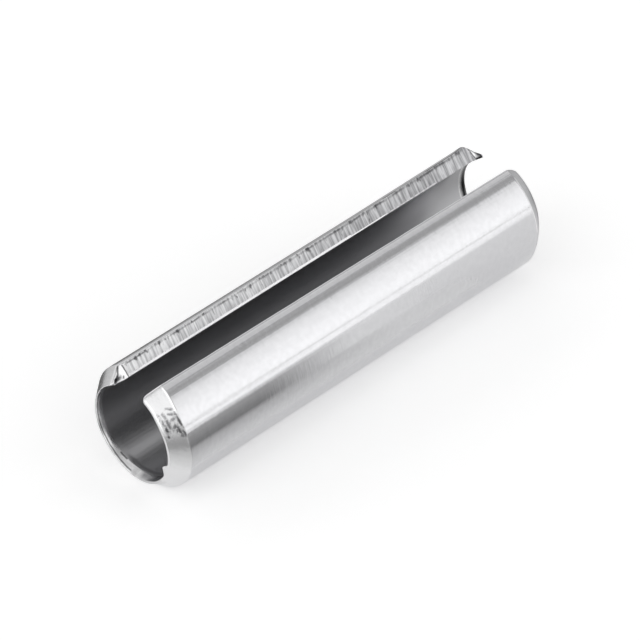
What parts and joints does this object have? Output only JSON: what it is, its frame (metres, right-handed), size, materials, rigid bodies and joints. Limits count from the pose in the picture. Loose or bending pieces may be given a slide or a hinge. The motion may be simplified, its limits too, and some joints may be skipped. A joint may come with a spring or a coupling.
{
  "type": "spring roll pin",
  "caption": "Straight steel fastening pin rolled from strip into an open tube, with a slot along its whole length and a bevelled lead at each end.",
  "frame": {"origin": "on the pin's axis at mid-length", "axes": "+X along the pin's axis, +Z from the axis through the middle of the slot"},
  "size_m": [0.024, 0.0064, 0.0061],
  "materials": {
    "steel": "bright stainless steel strip, smooth and lightly drawn along its length, with sheared slot edges"
  },
  "bodies": {
    "root": {"spring_pin": "steel"}
  },
  "joints": []
}
